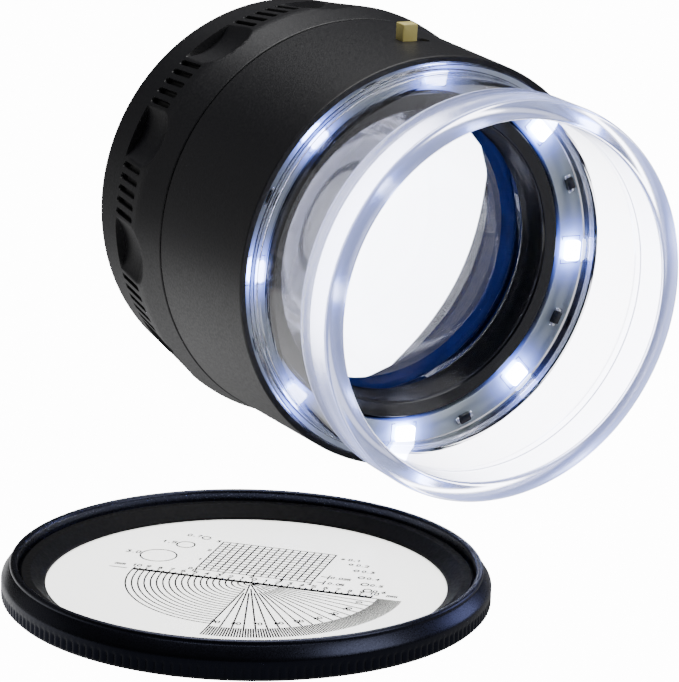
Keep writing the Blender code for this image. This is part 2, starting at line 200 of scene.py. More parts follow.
def new_material(name, hex_code, roughness, **more):
    """A material with its shader's own values set; more holds other socket names with _ for spaces."""
    made = bpy.data.materials.new(name)
    made.use_nodes = True
    shader = made.node_tree.nodes["Principled BSDF"]
    shader.inputs["Base Color"].default_value = colour(hex_code)
    shader.inputs["Roughness"].default_value = roughness
    for key, value in more.items():
        shader.inputs[key.replace("_", " ")].default_value = value
    return made


def add_grain(material, grain_mm, depth_mm, roughness_low, roughness_high):
    """Fine grain: noise of one real size moves the surface a little and varies its roughness."""
    tree = material.node_tree
    shader = tree.nodes["Principled BSDF"]
    place = add_node(tree, "ShaderNodeTexCoord").outputs["Object"]
    noise = add_node(tree, "ShaderNodeTexNoise",
                     {"Vector": place, "Scale": 1 / (grain_mm * MM), "Detail": 4.0})
    bump = add_node(tree, "ShaderNodeBump",
                    {"Height": noise.outputs["Fac"], "Strength": 1.0, "Distance": depth_mm * MM})
    spread = add_node(tree, "ShaderNodeMapRange", {
        "Value": noise.outputs["Fac"], "From Min": 0.3, "From Max": 0.7,
        "To Min": roughness_low, "To Max": roughness_high})
    tree.links.new(bump.outputs["Normal"], shader.inputs["Normal"])
    tree.links.new(spread.outputs["Result"], shader.inputs["Roughness"])
    return material


def read_attribute(material, attribute, socket):
    """Lets a piece's own attribute set one of its material's values from place to place."""
    tree = material.node_tree
    amount = add_node(tree, "ShaderNodeAttribute", attribute_name=attribute)
    tree.links.new(amount.outputs["Fac"], tree.nodes["Principled BSDF"].inputs[socket])


# Turned aluminium with a baked matte black paint: a fine orange-peel grain and a broad dull sheen.
black_paint = add_grain(new_material("matte_black_paint_on_aluminium", "111115", 0.5,
                                     Specular_IOR_Level=0.4), 0.22, 0.012, 0.36, 0.5)
# The same paint inside and on the eyepiece, duller.
dull_black = add_grain(new_material("dull_black_paint", "070709", 0.6, Specular_IOR_Level=0.1),
                       0.3, 0.01, 0.55, 0.7)
# Black bore of the lens tube, painted blue-black and given a faint navy glow of its own: painted
# reflection of the lamps' blue light.
painted_navy_glow_black = add_grain(new_material("black_bore_with_painted_navy_glow", "0A1846", 0.4, Specular_IOR_Level=0.06,
                                     Emission_Color=colour("2444B4"), Emission_Strength=0.035),
                        0.3, 0.001, 0.35, 0.5)
# Gloss black enamel on the lens cell's front ring: sharp streaks of light.
gloss_black = new_material("gloss_black_enamel", "030406", 0.12, Specular_IOR_Level=0.4)
# Black anodised aluminium, satin turned: bluish along its highlights.
anodised = add_grain(new_material("black_anodised_aluminium", "060608", 0.3, Specular_IOR_Level=0.4,
                                  Specular_Tint=colour("B9C2F2")), 0.12, 0.004, 0.24, 0.36)
# Polished cast acrylic: clear, faintly violet; its turned flange is hazy and has a painted glow in place
# of the lamps' light carried through it, which the piece's attributes lay on.
acrylic = new_material("polished_clear_acrylic", "F6F6FF", 0.015, IOR=1.49, Transmission_Weight=1.0,
                       Emission_Color=colour("A9B8FF"))
read_attribute(acrylic, "painted_edge_glow", "Emission Strength")
read_attribute(acrylic, "haze", "Roughness")
# White solder mask over tinned copper: a soft silver, with a painted bluish glow beside each lamp in
# place of the lamps' spilled light.
solder_mask = new_material("white_solder_mask", "A8B2B3", 0.3, Metallic=0.4,
                           Emission_Color=colour("5F7CFF"))
read_attribute(solder_mask, "painted_lamp_glow", "Emission Strength")
# Moulded lamp body, lit from inside.
lamp_white = new_material("lit_white_lamp", "FFFFFF", 0.3, Emission_Color=colour("C9D4FF"),
                          Emission_Strength=40.0)
# Grey legend ink on the board.
legend_ink = new_material("grey_legend_ink", "6D757B", 0.5)
# Glazed black chip and bright solder.
chip_black = new_material("glazed_chip", "15171A", 0.25)
solder = new_material("bright_solder", "D5D8DA", 0.2, Metallic=1.0)
# Moulded cream nylon, slightly translucent.
cream_nylon = add_grain(new_material("moulded_cream_nylon", "C9BC72", 0.42, Subsurface_Weight=0.1,
                                     Subsurface_Radius=(0.0008, 0.0007, 0.0004)),
                        0.5, 0.01, 0.38, 0.5)
# Ground optical glass with a thin coating.
lens_glass = new_material("coated_optical_glass", "FAFBFF", 0.0, IOR=1.5, Transmission_Weight=1.0)
# Float glass of the reticle, as a pale disc with a painted glow of its own in place of the bright white
# seen through it, so that its thin print shows.
flat_glass = new_material("reticle_float_glass", "FFFFFF", 0.3, IOR=1.5, Alpha=0.93,
                          Specular_IOR_Level=0.15, Emission_Color=colour("FFFFFA"),
                          Emission_Strength=1.7)
# Black printing ink.
ink = new_material("black_printing_ink", "060608", 0.7, Specular_IOR_Level=0.1)
# Inner pieces.
brass = add_grain(new_material("turned_brass", "C9A55A", 0.3, Metallic=1.0), 0.2, 0.003, 0.25, 0.4)
steel = add_grain(new_material("bright_rolled_steel", "B9BABB", 0.3, Metallic=1.0),
                  0.3, 0.003, 0.22, 0.36)
tin_plate = add_grain(new_material("bright_tin_plate", "C9C7C0", 0.25, Metallic=1.0),
                      0.3, 0.003, 0.2, 0.35)
black_nylon = add_grain(new_material("moulded_black_nylon", "111112", 0.5), 0.4, 0.01, 0.45, 0.6)
grey_acetal = add_grain(new_material("moulded_grey_acetal", "8D9090", 0.45), 0.4, 0.01, 0.4, 0.5)
nitrile = add_grain(new_material("moulded_nitrile_rubber", "0E0E0E", 0.75), 0.3, 0.01, 0.65, 0.85)
red_sleeve = add_grain(new_material("red_wire_sleeve", "8E1416", 0.45), 0.3, 0.005, 0.4, 0.5)
black_sleeve = add_grain(new_material("black_wire_sleeve", "121212", 0.45), 0.3, 0.005, 0.4, 0.5)


# ---- shell ----

def build_shell():
    """Aluminium shell, r growing evenly from lip to rear. The switch slot is a round-ended pocket in
    the outer face, r lowered by the slot's depth, and the face has close rows of points there."""
    slot_x, slot_half, slot_station, slot_round, slot_deep = 1.15, 1.6, 19.95, 0.72, 0.72
    lip_r, lip_station, rear_r, rear_station = 19.09, 13.46, 19.39, 28.34
    head = eased([(18.45, 27.0), (18.5, lip_station), (lip_r, lip_station), (rear_r, rear_station),
                  (17.2, rear_station), (17.2, 34.0), (16.65, 34.0), (16.65, 34.9), (17.2, 34.9),
                  (17.2, 37.0), (16.6, 37.0), (16.6, 39.4), (16.2, 39.4), (16.2, 27.0)], 0.14)
    near_slot = np.linspace(slot_station - 1.15, slot_station + 1.15, 46)
    face_r = np.interp(near_slot, (lip_station, rear_station), (lip_r, rear_r))
    after_lip = 3 * 7
    outline = np.concatenate([head[:after_lip], np.stack([face_r, near_slot], 1), head[after_lip:]])

    def carve(r, angle, station):
        x = r * np.cos(np.radians(angle))
        up = np.sin(np.radians(angle)) < -0.9
        along = np.maximum(np.abs(x - slot_x) - (slot_half - slot_round), 0)
        inside = np.hypot(along, station - slot_station)
        depth = slot_deep * np.clip((slot_round - inside) / 0.07, 0, 1)
        return np.where(up & (r > 19), r - depth, r)

    angles = np.union1d(TURN, np.arange(267.5, 279.5, 0.15))
    shell = turned("shell", outline, angles=angles, carve=carve)
    finish(shell, black_paint, "housing", "black_aluminium", "body_shell")


# ---- focusing grip ----

def build_grip():
    """Grip ring: r is cut to the near side of a leaning cylinder for each finger scallop, and lowered
    inside a round-ended bar for each groove between them. Its angles and stations lie closest where
    those edges are."""
    scallops, group_angle, scallop_end = 11, -171.7, 38.0
    lean, reach_middle, station_middle = 0.1, 23.55, 36.0
    cutter_s, cutter_r = (30.4, 30.9, 31.6, 32.6, 33.7), (0.0, 3.6, 4.35, 4.8, 5.0)
    groove_pitch, groove_half, groove_middle, groove_reach, groove_depth = 3.3, 0.29, 35.7, 2.2, 0.5
    between = 360 / scallops
    stations = np.concatenate([np.arange(29.9, 33.1, 0.2), np.arange(33.15, 34.0, 0.1),
                               np.arange(34.2, 37.2, 0.4), np.arange(37.3, 38.15, 0.07)])
    taper_s, taper_r = (28.62, 32.0, 32.5, 38.2, 41.6), (19.46, 19.96, 19.97, 19.22, 18.83)
    face = np.stack([np.interp(stations, taper_s, taper_r), stations], 1)
    turn = np.radians(np.linspace(5, 90, 8))
    rim = np.stack([17.95 + 0.85 * np.cos(turn), 41.85 + 0.85 * np.sin(turn)], 1)
    front = eased([(17.3, 37.2), (17.3, 28.42), (19.45, 28.42), (19.96, 32.0)], 0.1)[7:-7]
    rear = np.array([(18.98, 40.2), (18.85, 41.4)])
    inner = np.array([(17.75, 42.7), (17.75, 38.45), (16.75, 38.45), (16.75, 37.2)])
    outline = np.concatenate([front, face, rear, rim, inner])

    def carve(r, angle, station):
        on_face = (r > 18.9) & (station > 29)
        off = (angle - group_angle + between / 2) % between - between / 2
        across = np.radians(np.abs(off) - between / 2)
        cutter = np.interp(station, cutter_s, cutter_r)
        reach = reach_middle - (station - station_middle) * lean
        inside = cutter ** 2 - (reach * np.sin(across)) ** 2
        near = reach * np.cos(across) - np.sqrt(np.maximum(inside, 0))
        scooped = on_face & (inside > 0) & (station < scallop_end)
        r_scooped = np.where(scooped, np.minimum(r, near), r)
        groove = off - groove_pitch * np.clip(np.round(off / groove_pitch), -2, 2)
        sideways = np.radians(groove) * r
        along = np.maximum(np.abs(station - groove_middle) - (groove_reach - groove_half), 0)
        depth = groove_depth * np.clip((groove_half - np.hypot(sideways, along)) / 0.07, 0, 1)
        return np.where(on_face, r_scooped - depth, r_scooped)

    groove_angles = (np.arange(-2, 3)[:, None] * groove_pitch
                     + np.array((-1.2, -0.87, -0.76, -0.66, -0.35, 0, 0.35, 0.66, 0.76, 0.87, 1.2)))
    period = np.concatenate([groove_angles.ravel(), np.linspace(8.2, 24.5, 42)])
    angles = np.sort((group_angle + np.arange(scallops)[:, None] * between + period).ravel() % 360)
    grip = turned("focus_grip", outline, angles=angles, carve=carve, sharp=30)
    finish(grip, black_paint, "grip", "black_aluminium", "grip_ring")


# ---- clear base ----

def build_clear_base():
    """Clear base: thick flange, thin tube and the collar held in the shell. Turning marks ripple the
    tube by a sum of sines of the station. The flange is hazy, and a painted glow of the lamps' light is
    laid on it: most on the outer part of its front edge and on the step behind it, by bell curves of the
    station."""
    tube_r, tube_end = 17.7, 12.6
    outline = eased([(16.3, 0.0), (18.15, 0.0), (18.15, 4.4), (tube_r, 4.4), (tube_r, 13.0),
                     (18.4, 13.0), (18.4, 14.8), (17.75, 14.8), (17.75, 13.6), (16.8, 13.6),
                     (16.8, 12.4), (16.8, 6.2), (16.8, 5.0), (16.3, 4.2)], 0.3, 5)
    marks = np.arange(4.85, tube_end, 0.06)
    ripple = 0.003 * np.sin(marks * 9.1) + 0.002 * np.sin(marks * 16.7 + 1) + 0.0015 * np.sin(marks * 29)
    fade = np.clip((marks - 9.8) / 2, 0, 1) * np.clip((tube_end - marks) / 0.5, 0, 1)
    tube = np.stack([tube_r + (ripple - 0.02) * fade, marks], 1)
    after_flange = 4 * 8
    outline = np.concatenate([outline[:after_flange], tube, outline[after_flange:]])
    base = turned("clear_viewing_base", outline)
    radius, _, station = loupe_place(base)
    flange = np.clip((5.2 - station) / 1.2, 0, 1)
    front_edge = np.exp(-((station - 0.1) / 0.35) ** 2) * np.clip((radius - 17.2) / 0.9, 0, 1)
    step = np.exp(-((station - 4.6) / 0.5) ** 2)
    # Painted glow of the lamps' light on the flange's front edge and step.
    lay_attribute(base, "painted_edge_glow", 0.3 * flange + 0.5 * front_edge + 0.12 * step)
    lay_attribute(base, "haze", 0.015 + 0.16 * flange)
    finish(base, acrylic, "housing", "clear_acrylic", "clear_base")


# ---- lamp board ----

def block(name, half, edge, centre, turn=0.0):
    """A block with round edges on the loupe: a small sphere's points moved out to the corners of a box,
    turned by so many degrees round the axis' direction; its poles are closed by merging."""
    u = np.radians(np.arange(11.25, 360, 22.5))[:, None]
    v = np.radians(np.array((-90, -89.9, -60, -35, -12, 12, 35, 60, 89.9, 90)))[None, :]
    n = np.stack([np.cos(u) * np.cos(v), np.sin(u) * np.cos(v), np.sin(v) + 0 * u], -1)
    side = np.sign(np.where(np.abs(n) < 1e-9, 0, n))
    p = side * (np.array(half) - edge) + edge * n
    p[:, 0, :2] = 0
    p[:, -1, :2] = 0
    c, s = math.cos(math.radians(turn)), math.sin(math.radians(turn))
    p = np.stack([p[..., 0] * c - p[..., 1] * s, p[..., 0] * s + p[..., 1] * c, p[..., 2]], -1)
    points = on_loupe(p + np.array(centre, float))
    return mesh_piece(name, points.reshape(-1, 3), grid_faces(16, 10, True, False), 30)


BOARD_FACE = 14.9                             # station of the board's lit face, mm
LAMP_R = 16.5                                 # mm
LAMPS = 8
LAMP_ANGLES = 2.0 + 360 / LAMPS * np.arange(LAMPS)   # degrees


def build_legend():
    """Printed corner brackets round each lamp: strokes (u0, v0, u1, v1), u outwards and v round."""
    bracket = np.array([(-0.95, 1.3, 0.95, 1.3), (-0.95, 1.3, -0.95, 0.95), (0.95, 1.3, 0.95, 0.95),
                        (-0.95, -1.3, 0.95, -1.3), (-0.95, -1.3, -0.95, -0.95),
                        (0.95, -1.3, 0.95, -0.95)])
    points, faces = stroke_boxes(bracket, 0.09, BOARD_FACE - 0.012, BOARD_FACE + 0.002)
    turns = np.radians(LAMP_ANGLES)[:, None]
    u, v = points[:, 0] + LAMP_R, points[:, 1]
    x, y = u * np.cos(turns) - v * np.sin(turns), u * np.sin(turns) + v * np.cos(turns)
    z = np.broadcast_to(points[:, 2], x.shape)
    many = (np.arange(LAMPS)[:, None, None] * len(points) + faces).reshape(-1, 4)
    legend = mesh_piece("board_legend", on_loupe(np.stack([x, y, z], -1).reshape(-1, 3)), many)
    finish(legend, legend_ink, "housing", "board_white")


def beside_lamps(radius, angle):
    """Distance in mm from each corner to the nearest lamp's middle, across the board."""
    across, down = radius * np.cos(np.radians(angle)), radius * np.sin(np.radians(angle))
    lamp_angles = np.radians(LAMP_ANGLES)[:, None]
    return np.hypot(across - LAMP_R * np.cos(lamp_angles), down - LAMP_R * np.sin(lamp_angles)).min(0)


def build_lamp_board():
    """Board with a close row of points across its face, on which a painted glow is laid beside each
    lamp, its strength 25 times e^(-d / 0.75), d being the distance to the nearest lamp in mm."""
    outline = eased([(15.3, BOARD_FACE), (18.35, BOARD_FACE), (18.35, 15.9), (15.3, 15.9)], 0.06)
    across = np.linspace(15.5, 18.2, 28)
    face = np.stack([across, np.full_like(across, BOARD_FACE)], 1)
    after_first = 7
    outline = np.concatenate([outline[:after_first], face, outline[after_first:]])
    board = turned("lamp_board", outline)
    radius, angle, station = loupe_place(board)
    on_face = station < BOARD_FACE + 0.3
    # Painted glow of spilled lamp light round each lamp on the board's face.
    lay_attribute(board, "painted_lamp_glow", 25 * np.exp(-beside_lamps(radius, angle) / 0.75) * on_face)
    finish(board, solder_mask, "housing", "board_white", "led_board")
    build_legend()
    for number, angle in enumerate(LAMP_ANGLES, 1):
        build_lamp(number, angle)
        build_resistor(number, angle + 180 / LAMPS)


def build_lamp(number, angle):
    a = math.radians(angle)
    lamp = block(f"lamp_{number}", (0.75, 0.95, 0.35), 0.25,
                 (LAMP_R * math.cos(a), LAMP_R * math.sin(a), BOARD_FACE - 0.38), angle)
    finish(lamp, lamp_white, "housing", "led_white", f"led_{number}")


def build_resistor(number, angle):
    """A chip between two lamps, with a solder joint at each end."""
    a, r = math.radians(angle), LAMP_R + 0.3
    chip = block(f"chip_resistor_{number}", (0.4, 0.55, 0.2), 0.05,
                 (r * math.cos(a), r * math.sin(a), BOARD_FACE - 0.26), angle)
    finish(chip, chip_black, "housing", "resistor_black", f"resistor_{number}")
    for end, letter in ((-1, "a"), (1, "b")):
        at = a + end * 0.72 / r
        joint = block(f"solder_joint_{number}_{letter}", (0.36, 0.2, 0.16), 0.15,
                      (r * math.cos(at), r * math.sin(at), BOARD_FACE - 0.2), math.degrees(at))
        finish(joint, solder, "housing", "tinned_brass")


# ---- lens unit ----

LENS_RIM = 14.0                               # radius of every lens, mm


def sphere_face(vertex, curve, radii):
    """Stations of a spherical face: vertex plus the sag curve - sqrt(curve^2 - r^2); 0 is flat."""
    if curve == 0:
        return np.full_like(radii, vertex)
    return vertex + math.copysign(1, curve) * (abs(curve) - np.sqrt(curve ** 2 - radii ** 2))


def lens(name, front_vertex, front_curve, rear_vertex, rear_curve, node):
    """A glass lens, from its faces' vertex stations and radii of curvature in mm."""
    radii = np.linspace(0, LENS_RIM, 33)
    front = np.stack([radii, sphere_face(front_vertex, front_curve, radii)], 1)
    rear = np.stack([radii, sphere_face(rear_vertex, rear_curve, radii)], 1)[::-1]
    piece = turned(name, np.concatenate([front, rear]))
    finish(piece, lens_glass, "lens_unit", "lens_glass", node)


def build_lens_unit():
    """Cell ring, doublet, single rear lens, the tube that holds them, and the eyepiece's rim."""
    ring = eased([(13.15, 17.0), (13.5, 15.2), (13.7, 15.0), (15.0, 15.0), (15.0, 16.2), (14.0, 16.2),
                  (14.0, 18.5), (13.4, 18.5), (13.15, 18.1)], 0.12)
    finish(turned("lens_cell_ring", ring), gloss_black, "lens_unit", "gloss_black", "front_lens_ring")
    lens("front_negative_lens", 17.0, 60.0, 18.6, 45.0, "field_lens_flint")
    lens("front_positive_lens", 18.75, 45.0, 26.2, -32.0, "field_lens_crown")
    lens("rear_lens", 27.3, 31.0, 32.3, 0.0, "eye_lens")
    barrel = eased([(14.1, 16.3), (15.0, 16.3), (15.0, 38.5), (15.4, 38.5), (15.4, 41.5), (14.0, 41.5),
                    (14.0, 39.9), (13.6, 39.9), (12.6, 33.4), (12.6, 32.5), (14.1, 32.5)], 0.08)
    # The bore's navy colour and glow are painted reflection of the lamps' light.
    finish(turned("barrel", barrel), painted_navy_glow_black, "lens_unit", "black_aluminium", "lens_barrel")
    rim = eased([(12.75, 40.05), (13.9, 40.05), (13.9, 41.6), (15.0, 41.6), (15.3, 41.9), (15.3, 43.6),
                 (14.7, 44.2), (13.9, 44.2), (13.3, 43.2)], 0.3)
    finish(turned("eyepiece", rim), dull_black, "lens_unit", "matte_black", "eyepiece_rim")


# ---- switch ----

def build_switch():
    """The lever's nub, standing out of the slot."""
    nub = block("switch_nub", (0.775, 1.15, 0.65), 0.1, (0.4, -19.6, 19.95))
    finish(nub, cream_nylon, "switch", "cream_plastic", "switch_lever")


# ---- reticle ring ----

GLASS_TOP = 1.03                              # mm above the ring's underside


def build_reticle_ring():
    """Ring with a band of straight knurling: r falls by a rounded tooth shape, 180 teeth round, inside
    the band, fading out at its top."""
    teeth, band_low, band_high, depth = 180, 0.32, 1.3, 0.13
    wall = np.array([(19.6, 0.36), (19.6, 0.45), (19.6, 0.6), (19.6, 0.8), (19.6, 1.0), (19.6, 1.1),
                     (19.6, 1.2), (19.6, 1.3), (19.6, 1.6)])
    lip = np.radians(np.linspace(-10, 190, 12))
    lip = np.stack([18.62 + 0.3 * np.cos(lip), 2.74 + 0.3 * np.sin(lip)], 1)
    outline = np.concatenate([
        [(16.6, 0.0), (17.0, 0.0), (19.15, 0.0), (19.3, 0.03), (19.57, 0.3)], wall,
        [(19.56, 1.78), (19.45, 1.95), (19.0, 2.62)], lip,
        [(18.3, 2.0), (18.2, 1.86), (18.05, 1.8), (17.65, 1.7), (17.65, 0.3), (16.6, 0.3)]])

    def carve(r, angle, station):
        in_band = np.clip((station - band_low + 0.1) / 0.1, 0, 1)
        in_band = in_band * np.clip((band_high - station) / 0.25, 0, 1)
        tooth = (0.5 - 0.5 * np.cos(np.radians(angle * teeth))) ** 2
        return np.where(r > 19.4, r - depth * tooth * in_band, r)

    angles = np.arange(0, 360, 360 / (teeth * 6))
    ring = turned("reticle_ring", outline, on_ring, angles, carve, 40)
    finish(ring, anodised, "reticle", "black_anodised", "reticle_frame")
    radii = np.linspace(0, 17.3, 12)
    glass = np.concatenate([np.stack([radii, 0 * radii + 0.4], 1), [(17.5, 0.5), (17.5, 0.95)],
                            np.stack([radii, 0 * radii + GLASS_TOP], 1)[::-1]])
    finish(turned("reticle_glass_disc", glass, on_ring), flat_glass, "reticle", "lens_glass",
           "reticle_glass")
    keeper = eased([(16.05, 1.1), (17.55, 1.1), (17.6, 1.85), (18.0, 1.95), (18.0, 2.2), (17.3, 2.2),
                    (16.1, 1.3)], 0.08)
    finish(turned("glass_keeper_ring", keeper, on_ring), dull_black, "reticle", "black_anodised",
           "reticle_retaining_ring")


# ---- printed scale ----

# Pen paths of the figures in a box 0.6 wide and 1 high.
FIGURES = {
    "0": [(.15, 0), (0, .2), (0, .8), (.15, 1), (.45, 1), (.6, .8), (.6, .2), (.45, 0), (.15, 0)],
    "1": [(.1, .75), (.35, 1), (.35, 0)],
    "2": [(0, .8), (.15, 1), (.45, 1), (.6, .8), (.6, .6), (0, 0), (.6, 0)],
    "3": [(0, 1), (.6, 1), (.25, .6), (.6, .4), (.6, .15), (.45, 0), (.15, 0), (0, .15)],
    "4": [(.45, 0), (.45, 1), (0, .3), (.6, .3)],
    "5": [(.6, 1), (.05, 1), (0, .55), (.4, .6), (.6, .4), (.6, .15), (.45, 0), (0, .05)],
    "6": [(.5, 1), (.1, .7), (0, .2), (.15, 0), (.45, 0), (.6, .2), (.6, .4), (.4, .55), (.05, .45)],
    "7": [(0, 1), (.6, 1), (.2, 0)],
    "8": [(.2, .55), (.05, .8), (.3, 1), (.55, .8), (.4, .55), (.2, .55), (0, .25), (.3, 0), (.6, .25),
          (.4, .55)],
    "9": [(.1, 0), (.5, .3), (.6, .8), (.45, 1), (.15, 1), (0, .8), (0, .6), (.2, .45), (.55, .55)],
    ".": [(.25, 0), (.35, .08)],
    "m": [(0, 0), (0, .6), (.3, .6), (.3, 0), (.3, .6), (.6, .6), (.6, 0)],
}


def path_strokes(path):
    """A path's points as strokes (u0, v0, u1, v1), each from one point to the next."""
    path = np.array(path, float)
    return np.concatenate([path[:-1], path[1:]], 1)


def written(text, u, v, height, turn=0.0):
    """Strokes (u0, v0, u1, v1) of a short number or a unit, centred on (u, v) and so many mm high."""
    step = 0.85
    strokes = np.concatenate([path_strokes(FIGURES[c]) + (i * step, 0, i * step, 0)
                              for i, c in enumerate(text)])
    strokes = (strokes - ((len(text) * step - 0.25) / 2, 0.5) * 2) * height
    c, s = math.cos(math.radians(turn)), math.sin(math.radians(turn))
    x, y = strokes[:, 0::2], strokes[:, 1::2]
    turned_strokes = np.stack([x * c - y * s + u, x * s + y * c + v], -1)
    return turned_strokes.reshape(-1, 4)


def circle_strokes(u, v, radius, start=0.0, end=360.0, count=48):
    """A circle or an arc round (u, v), between two angles in degrees, as so many strokes."""
    a = np.radians(np.linspace(start, end, count + 1))
    return path_strokes(np.stack([u + radius * np.cos(a), v + radius * np.sin(a)], 1))


def straight(u0, v0, u1, v1):
    """Straight strokes; a list for any end makes one stroke for each of its values."""
    return np.stack(np.broadcast_arrays(u0, v0, u1, v1), -1).astype(float).reshape(-1, 4)


def ruler():
    """Fine strokes and figures of the ruler: a tick at each tenth of a millimetre, longer at each half
    and longest at each whole one, and the unit at both ends."""
    tenths = np.arange(-100, 101)
    length = np.where(tenths % 10 == 0, 0.62, np.where(tenths % 5 == 0, 0.45, 0.28))
    fine = [straight(tenths / 10, 0, tenths / 10, length), straight(-12.0, 0.1, -10.6, 0.1)]
    figures = [written(str(abs(number)), number, 1.05, 0.5) for number in range(-10, 11)]
    figures += [written("mm", -11.4, 1.05, 0.55), written("mm", 11.5, 1.0, 0.55)]
    return fine, figures


def arcs_and_protractor():
    """Fine strokes and figures of the arcs, one each half millimetre over a quarter turn, and of the
    protractor over the next: a spoke each 5 degrees and an outer tick each degree."""
    spoke_end, tick_start, tick_end, figure_r = 10.0, 10.6, 12.5, 9.5
    fine = [circle_strokes(0, 0, step / 2, 180, 270, 40) for step in range(1, 21)]
    for degrees in range(0, 91, 5):
        a = -math.radians(degrees)
        near = (0.3, 2.4, 1.4, 2.4)[degrees // 5 % 4]
        fine.append(straight(near * math.cos(a), near * math.sin(a),
                             spoke_end * math.cos(a), spoke_end * math.sin(a)))
    degrees = np.arange(0, 91)
    a, near = -np.radians(degrees), np.where(degrees % 5 == 0, spoke_end, tick_start)
    fine.append(straight(near * np.cos(a), near * np.sin(a), tick_end * np.cos(a), tick_end * np.sin(a)))
    figures = []
    for number in range(10, 91, 10):
        a = -math.radians(number - 1.2)
        figures.append(written(str(number), figure_r * math.cos(a), figure_r * math.sin(a), 0.45,
                               90 - number))
    return fine, figures


def square_grid():
    """Fine strokes and figures of the grid, which is numbered at every fourth line."""
    left, foot, cell, across, up = -5.25, 1.85, 0.61, 16, 12
    rows, columns = np.arange(up + 1), np.arange(across + 1)
    fine = [straight(left, foot + rows * cell, left + across * cell, foot + rows * cell),
            straight(left + columns * cell, foot, left + columns * cell, foot + up * cell)]
    figures = [written(str(number), left + number * 4 * cell, foot - 0.35, 0.4) for number in range(5)]
    figures += [written(str(number), left - 0.45, foot + number * 4 * cell, 0.4) for number in range(4)]
    return fine, figures


def sample_sizes():
    """Fine strokes and figures of the rings and dots of stated diameters, each (diameter, u, v), and of
    the two stated line widths."""
    rings = ((3.0, -9.2, 4.0), (1.5, -8.0, 7.4), (0.7, -6.95, 9.65))
    dots = ((0.1, 5.3, 8.4), (0.2, 6.3, 7.3), (0.3, 7.15, 5.95), (0.4, 8.0, 4.45), (0.5, 8.7, 2.95),
            (0.6, 9.3, 1.6))
    fine, figures = [], []
    for size, u, v in rings:
        fine.append(circle_strokes(u, v, size / 2))
        figures.append(written(f"{size}", u - size / 2 - 0.75, v + 0.25, 0.5))
    for size, u, v in dots:
        fine.append(circle_strokes(u, v, size / 2 + 0.05, count=20))
        figures.append(written(f"{size}", u + 1.0, v, 0.42))
    for label, v in (("0.025", 3.6), ("0.05", 2.2)):
        fine += [straight(4.9, v, 5.4, v), straight(5.5, v - 0.45, 5.5, v + 0.5)]
        figures.append(written(label, 6.5, v, 0.4))
    return fine, figures


def printed_strokes():
    """Everything on the reticle as strokes in mm, from its zero mark, u along the ruler: three sets,
    each with the width of its lines."""
    parts = (ruler(), arcs_and_protractor(), square_grid(), sample_sizes())
    fine = np.concatenate([strokes for part_fine, _ in parts for strokes in part_fine])
    figures = np.concatenate([strokes for _, part_figures in parts for strokes in part_figures])
    return [(figures, 0.11), (fine, 0.135), (straight(-10, 0, 10, 0), 0.2)]


def stroke_boxes(strokes, width, low, high):
    """A flat closed box along each stroke: its ends plus and minus half the width to each side."""
    start, end = strokes[:, :2], strokes[:, 2:]
    along = end - start
    along = along / np.maximum(np.linalg.norm(along, axis=1, keepdims=True), 1e-9)
    side = np.stack([-along[:, 1], along[:, 0]], 1) * width / 2
    start, end = start - along * width / 3, end + along * width / 3
    corners = np.stack([start - side, end - side, end + side, start + side], 1)
    flat = np.concatenate([corners, corners], 1)
    z = np.broadcast_to(np.repeat([low, high], 4), flat.shape[:2])
    points = np.concatenate([flat, z[..., None]], 2).reshape(-1, 3)
    box = np.array([(0, 3, 2, 1), (4, 5, 6, 7), (0, 1, 5, 4), (1, 2, 6, 5), (2, 3, 7, 6), (3, 0, 4, 7)])
    faces = (np.arange(len(strokes))[:, None, None] * 8 + box).reshape(-1, 4)
    return points, faces


def build_print():
    """The scale as thin raised ink on the disc, turned and set off the ring's middle as it lies. Its
    boxes overlap, so their corners stay unmerged."""
    zero, turn = np.array((0.19, -0.26)), math.radians(-46.1)
    points, faces, count = [], [], 0
    for strokes, width in printed_strokes():
        more_points, more_faces = stroke_boxes(strokes, width, GLASS_TOP + 0.01, GLASS_TOP + 0.02)
        points.append(more_points)
        faces.append(more_faces + count)
        count += len(more_points)
    points, faces = np.concatenate(points), np.concatenate(faces)
    c, s = math.cos(turn), math.sin(turn)
    x = points[:, 0] * c - points[:, 1] * s + zero[0]
    y = points[:, 0] * s + points[:, 1] * c + zero[1]
    mesh = bpy.data.meshes.new("printed_scale")
    mesh.from_pydata(on_ring(np.stack([x, y, points[:, 2]], 1)).tolist(), [], faces.tolist())
    piece = bpy.data.objects.new("printed_scale", mesh)
    bpy.context.scene.collection.objects.link(piece)
    finish(piece, ink, "reticle", "black_anodised")


# ---- CAD pieces that keep their shape ----

def dress_cad_nodes():
    """Gives each hidden piece the material that is usual for it; its CAD shape stays."""
    kept = {
        "board_spacer_ring": black_nylon, "switch_housing": grey_acetal, "battery_carrier": black_nylon,
        "switch_terminal_1": tin_plate, "switch_terminal_2": tin_plate, "switch_terminal_3": tin_plate,
        "button_cell_1": steel, "button_cell_2": steel, "button_cell_3": steel,
        "cell_link_1": tin_plate, "cell_link_2": tin_plate, "positive_contact": tin_plate,
        "negative_contact": tin_plate, "lead_wire_positive": red_sleeve,
        "lead_wire_negative": black_sleeve, "guide_bush": brass, "guide_pin_1": steel,
        "guide_pin_2": steel, "focus_o_ring": nitrile, "grip_retaining_ring": steel,
        # The spacer shares the bore's black with its painted navy lamp glow.
        "focus_nut": dull_black, "lens_spacer": painted_navy_glow_black,
    }
    for name, material in kept.items():
        node = frame["nodes"][name]
        node.data.materials.clear()
        node.data.materials.append(material)


# ---- stage, light and camera ----

WHITE = 14.0                                  # strength of the white where it is seen
WHITE_INSIDE = 0.8                            # its strength after a reflection inside clear pieces
THROUGH_LENSES = 7                            # faces that light has crossed once past the lenses
POOL_CENTRE = (-0.045, 0.03, 0.0)             # middle of the brighter floor, in metres


